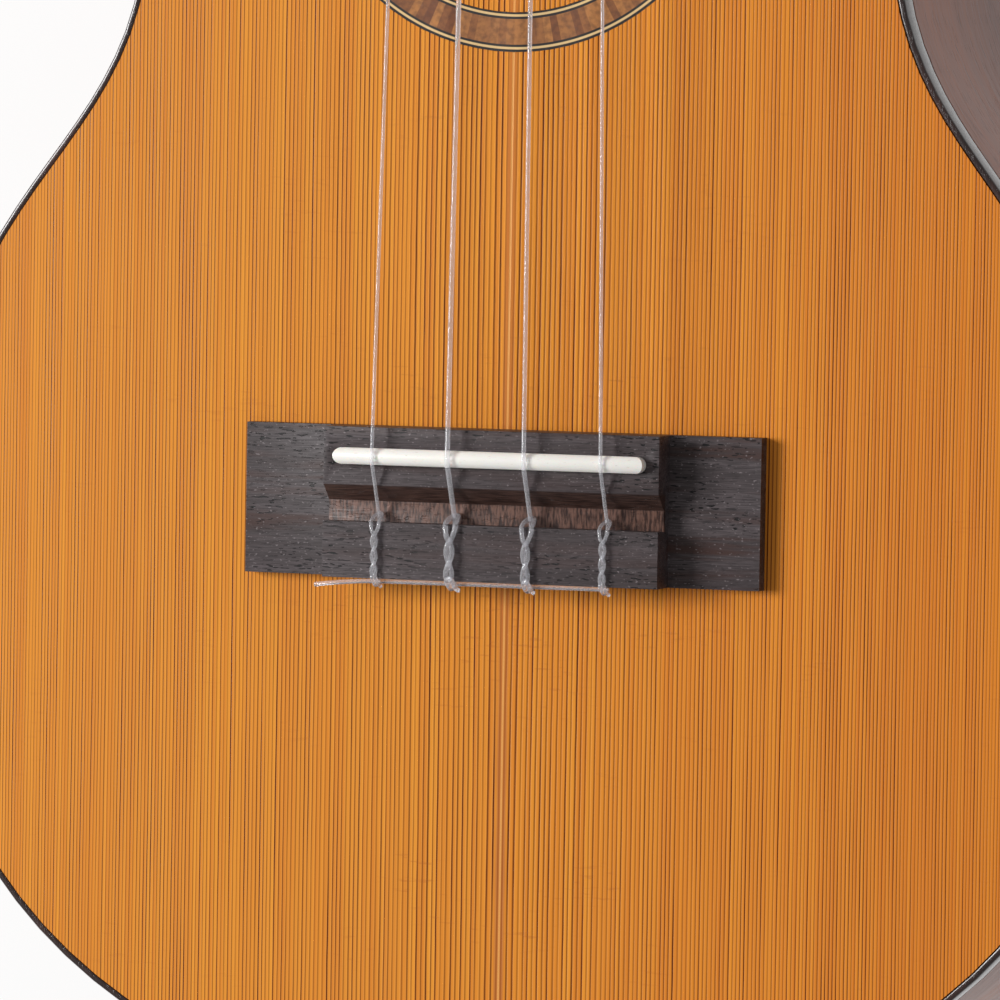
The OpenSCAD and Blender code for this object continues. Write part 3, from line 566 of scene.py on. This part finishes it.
def finish_nodes(finishes):
    """Gives every CAD node its slot's finish, and rounds the edges that a maker would round."""
    shading = smooth_shading()
    for part in frame["record"]["subparts"]:
        node = nodes[part["node"]]
        bent = part["node"].startswith("rib_")
        finish = finishes["bent_mahogany" if bent else part["material_slot"]]
        for holder in node.material_slots:
            holder.material = finish
        weld = node.modifiers.new("weld", "WELD")
        weld.merge_threshold = 0.002 * MM
        if part["node"] in EDGE_ROUNDS:
            rounding = node.modifiers.new("rounding", "BEVEL")
            rounding.width = EDGE_ROUNDS[part["node"]] * MM
            rounding.segments = 3
            rounding.limit_method = "ANGLE"
            rounding.angle_limit = math.radians(40)
            rounding.harden_normals = False
        node.modifiers.new("smooth", "NODES").node_group = shading


# ---------------------------------------------------------------- strings

STRING_SIZES = (0.66, 0.92, 0.82, 0.66)
NUT_SPREAD = 27.7
SADDLE_SPREAD = 42.5
HALF_TWIST = (2.6, 3.9, 3.9, 2.6)
HEAD_ORIGIN = Vector((0, 437, 70))
HEAD_SLOPE = math.radians(12)
HEAD_ALONG = Vector((0, math.cos(HEAD_SLOPE), -math.sin(HEAD_SLOPE)))
HEAD_UP = Vector((0, math.sin(HEAD_SLOPE), math.cos(HEAD_SLOPE)))
TUNER_PLACES = ((-17, 42), (-17, 82), (17, 82), (17, 42))
POST_WAIST = 2.7
LOWEST_TURN = 6
TURNS = 3
STEPS_PER_TURN = 28
THICK_R = 0.4
NUT_FRONT = 432.0
NUT_BACK = 437.0
NUT_TOP = 75.9
SADDLE_TOP = 80.6
TIE_HOLE_Z = 76.45
BRIDGE_REAR = -21.5
TIE_FRONT = -11.6
TIE_TOP = 78.5
TAIL_R = 0.41
TAIL_Y = BRIDGE_REAR - TAIL_R - 0.04
TAIL_Z = 77.55


def head_point(across, along, up):
    """A point over the head's face, in millimetres."""
    return HEAD_ORIGIN + Vector((across, 0, 0)) + HEAD_ALONG * along + HEAD_UP * up


def smooth_path(points, per_span=5):
    """A smooth curve through the points, as a close row of points."""
    ends = [points[0] * 2 - points[1], *points, points[-1] * 2 - points[-2]]
    path = [points[0]]
    for before, start, end, after in zip(ends, ends[1:], ends[2:], ends[3:]):
        for step in range(1, per_span + 1):
            t = step / per_span
            square = (2 * before - 5 * start + 4 * end - after) * t**2
            cube = (3 * start - before - 3 * end + after) * t**3
            path.append(0.5 * (2 * start + (end - before) * t + square + cube))
    return path


def tube(name, path, radius, finish, body):
    """A round cord of that radius along a path in millimetres, which rides on the body."""
    curve = bpy.data.curves.new(name, "CURVE")
    curve.dimensions = "3D"
    curve.bevel_depth = radius * MM
    curve.bevel_resolution = 4
    curve.use_fill_caps = True
    spline = curve.splines.new("POLY")
    spline.points.add(len(path) - 1)
    for point, place in zip(spline.points, path):
        point.co = (*(place * MM), 1)
    curve.materials.append(finish)
    piece = bpy.data.objects.new(name, curve)
    bpy.context.collection.objects.link(piece)
    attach(piece, body)
    return piece


def speaking_length(i, x0, x1, r):
    """From the post, over the nut and the saddle, to just in front of the tie hole."""
    side, along = TUNER_PLACES[i]
    turn_r = POST_WAIST + r
    inside = side - math.copysign(turn_r + 2 * r + 0.03, side)
    return [
        head_point(inside, along, LOWEST_TURN + r),
        Vector((x0, NUT_BACK + 0.3, NUT_TOP - 0.03 + r)),
        Vector((x0, NUT_BACK, NUT_TOP + r)),
        Vector((x0, NUT_FRONT, NUT_TOP + r)),
        Vector((x1, 0.9, SADDLE_TOP + r)),
        Vector((x1, 0.35, SADDLE_TOP + 0.04 + r)),
        Vector((x1, -0.35, SADDLE_TOP + 0.04 + r)),
        Vector((x1, -0.9, SADDLE_TOP - 0.05 + r)),
        Vector((x1, -10.6, 76.72)),
    ]


def tie(i, x1, r):
    """Through the tie hole, round the tail, over the tie block, round the string, and back in a twist."""
    pitch = HALF_TWIST[i]
    centre_z = TIE_TOP + 2 * r + 0.03
    wrap = TAIL_R + r + 0.02
    out = [
        Vector((x1, -12.3, TIE_HOLE_Z)),
        Vector((x1, -17.0, TIE_HOLE_Z)),
        Vector((x1, BRIDGE_REAR, TIE_HOLE_Z)),
        Vector((x1, TAIL_Y - 0.3, TIE_HOLE_Z - 0.05)),
        Vector((x1, TAIL_Y - wrap * 0.8, TAIL_Z - wrap * 0.6)),
        Vector((x1, TAIL_Y - wrap, TAIL_Z + 0.1)),
        Vector((x1 - 0.5 * r, TAIL_Y - wrap * 0.7, TAIL_Z + wrap * 0.75)),
        Vector((x1 - r, BRIDGE_REAR + 0.1, centre_z - 0.4 * r)),
    ]
    start = BRIDGE_REAR + 0.7
    cross = TIE_FRONT - (3.1 if r > THICK_R else 2.3)
    steps = 24
    go, back = [], []
    for step in range(steps + 1):
        y = start + (cross - start) * step / steps
        angle = math.pi * (y - cross) / pitch
        across = math.sin(angle) * r * 1.15
        up = math.cos(angle) * r
        go.append(Vector((x1 + across, y, centre_z + up)))
        back.append(Vector((x1 - across, y, centre_z - up)))
    wide = 0.94 if r > THICK_R else 0.76
    half = [
        (0.52, cross + 0.30 * (TIE_FRONT - cross), TIE_TOP + 1.9 * r),
        (0.88, cross + 0.68 * (TIE_FRONT - cross), TIE_TOP + 1.3 * r),
        (1.0, TIE_FRONT + 0.1, TIE_TOP + 0.75 * r),
        (0.95, TIE_FRONT + 0.8, TIE_TOP - 0.75),
        (0.62, TIE_FRONT + 1.35, 76.95 - 1.0 * r),
    ]
    loop = [Vector((x1 + wide * share, y, z)) for share, y, z in half]
    loop.append(Vector((x1, TIE_FRONT + 1.6, 77.08 - 2.0 * r)))
    loop += [Vector((x1 - wide * share, y, z)) for share, y, z in reversed(half)]
    tip = [
        Vector((x1 + 1.2 * r, BRIDGE_REAR + 0.15, centre_z - 0.2 * r)),
        Vector((x1 + 1.8 * r, TAIL_Y - 0.25, TIE_TOP + 0.75 * r)),
        Vector((x1 + 2.3 * r, TAIL_Y - wrap * 0.95, TAIL_Z + 0.75 * wrap)),
        Vector((x1 + 2.5 * r, TAIL_Y - wrap * 1.25, TAIL_Z + 0.1 * wrap)),
    ]
    return out + go + loop + list(reversed(back)) + tip


def make_string(i, finish):
    """One string from its post to its tied end. It stands for the plain CAD string."""
    r = STRING_SIZES[i] / 2
    share = i / 3 - 0.5
    x0 = NUT_SPREAD * share
    x1 = SADDLE_SPREAD * share
    route = speaking_length(i, x0, x1, r)
    path = route[:-1] + smooth_path([route[-1], *tie(i, x1, r)])
    piece = tube(f"string_{i + 1}_tied", path, r, finish, "instrument")
    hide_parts(f"string_{i + 1}")


def make_tail(finish):
    """The long end of a thick string, which lies behind the tie block and under the others."""
    points = [
        Vector((21.9, TAIL_Y, TAIL_Z)),
        Vector((14.0, TAIL_Y + 0.02, TAIL_Z)),
        Vector((7.08, TAIL_Y, TAIL_Z)),
        Vector((0.0, TAIL_Y + 0.02, TAIL_Z)),
        Vector((-7.08, TAIL_Y, TAIL_Z)),
        Vector((-14.0, TAIL_Y - 0.02, TAIL_Z)),
        Vector((-21.25, TAIL_Y - 0.06, TAIL_Z)),
        Vector((-25.0, TAIL_Y - 0.22, TAIL_Z - 0.1)),
        Vector((-29.5, TAIL_Y - 0.62, TAIL_Z - 0.4)),
        Vector((-33.2, TAIL_Y - 1.1, TAIL_Z - 0.9)),
    ]
    tube("string_tail", smooth_path(points), TAIL_R, finish, "instrument")


def make_winding(i, finish):
    """Three turns of string on its post, then in through the post's hole."""
    r = STRING_SIZES[i] / 2
    side, along = TUNER_PLACES[i]
    hand = -1 if side > 0 else 1
    first = math.pi if side > 0 else 0.0
    turn_r = POST_WAIST + r
    path = []

    def at(angle, radius, up):
        across = side + radius * math.cos(angle)
        return head_point(across, along + radius * math.sin(angle), up)

    for step in range(TURNS * STEPS_PER_TURN + 1):
        turns = step / STEPS_PER_TURN
        angle = first + hand * 2 * math.pi * turns
        path.append(at(angle, turn_r, LOWEST_TURN + r + 2 * r * turns))
    hole_up = LOWEST_TURN + 2 * r * TURNS + 1
    last_up = LOWEST_TURN + r + 2 * r * TURNS
    lead = []
    for step in (1, 2, 3, 4):
        share = step / 4
        angle = first + hand * math.pi / 2 * share
        lead.append(at(angle, turn_r + 0.35 * share, last_up + (hole_up - last_up) * share))
    lead.append(head_point(side, along + turn_r - 0.6, hole_up))
    lead.append(head_point(side, along, hole_up))
    lead.append(head_point(side, along - turn_r, hole_up))
    lead.append(head_point(side, along - turn_r - 1.8, hole_up + 0.5))
    path += smooth_path([path[-1], *lead], per_span=4)[1:]
    piece = tube(f"winding_{i + 1}_turns", path, r, finish, f"roller_{i + 1}")
    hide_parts(f"winding_{i + 1}")


# ---------------------------------------------------------------- the scene

bpy.context.scene.view_settings.view_transform = "Standard"
place_camera()
light_scene()
lay_floor()

finishes = make_finishes()
finish_nodes(finishes)
for index in range(4):
    make_string(index, finishes["clear_string"])
    make_winding(index, finishes["clear_string"])
make_tail(finishes["clear_string"])
